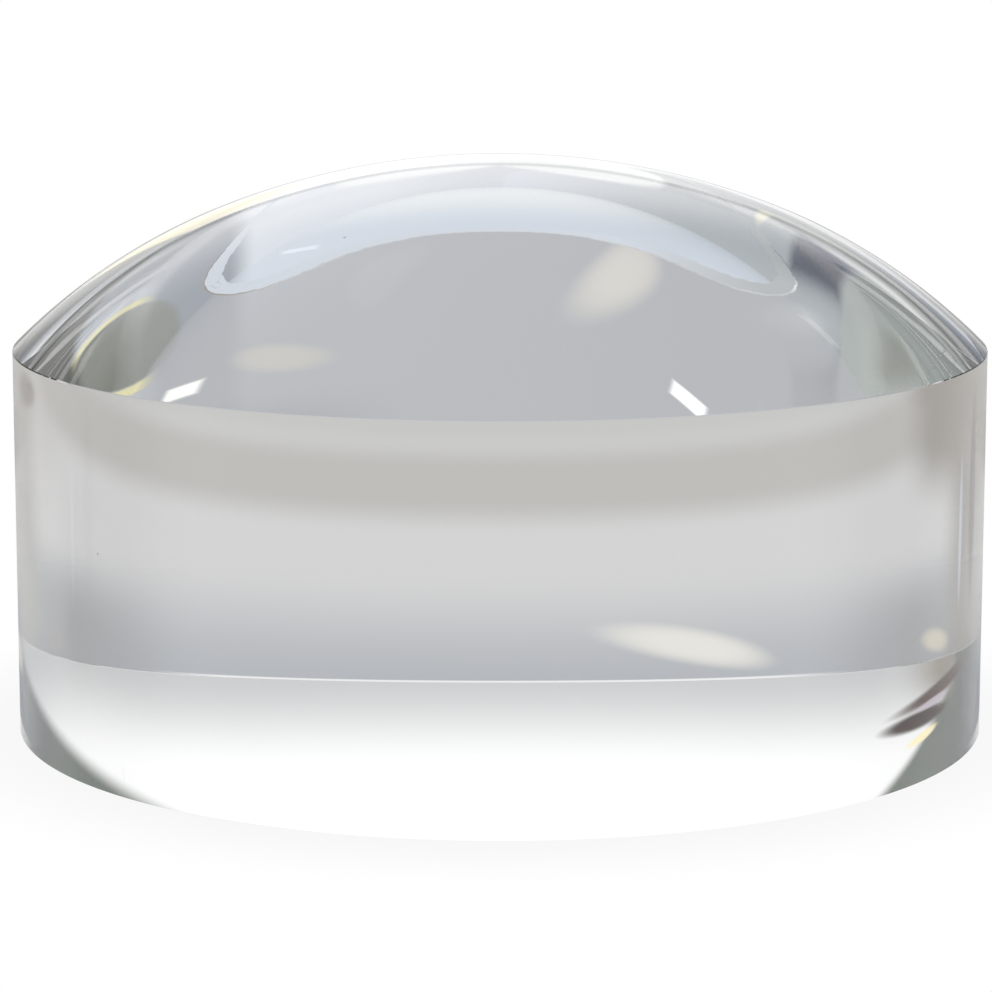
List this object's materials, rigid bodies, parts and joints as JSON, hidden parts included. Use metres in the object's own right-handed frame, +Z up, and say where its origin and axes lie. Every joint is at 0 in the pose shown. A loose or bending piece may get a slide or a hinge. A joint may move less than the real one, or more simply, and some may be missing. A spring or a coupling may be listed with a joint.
{
  "type": "dome magnifier",
  "caption": "One-piece clear block with a straight round wall and a polished dome top; it stands on a page and enlarges the print under its flat base.",
  "frame": {"origin": "centre of the flat base, on the plane of the page", "axes": "+Z up along the optical axis, from the page towards the reader's eye; the block is round, so +X and +Y are free"},
  "size_m": [0.08, 0.08, 0.0469],
  "materials": {
    "clear_acrylic": "polished"
  },
  "bodies": {
    "root": {"dome_lens": "clear_acrylic"}
  },
  "joints": []
}
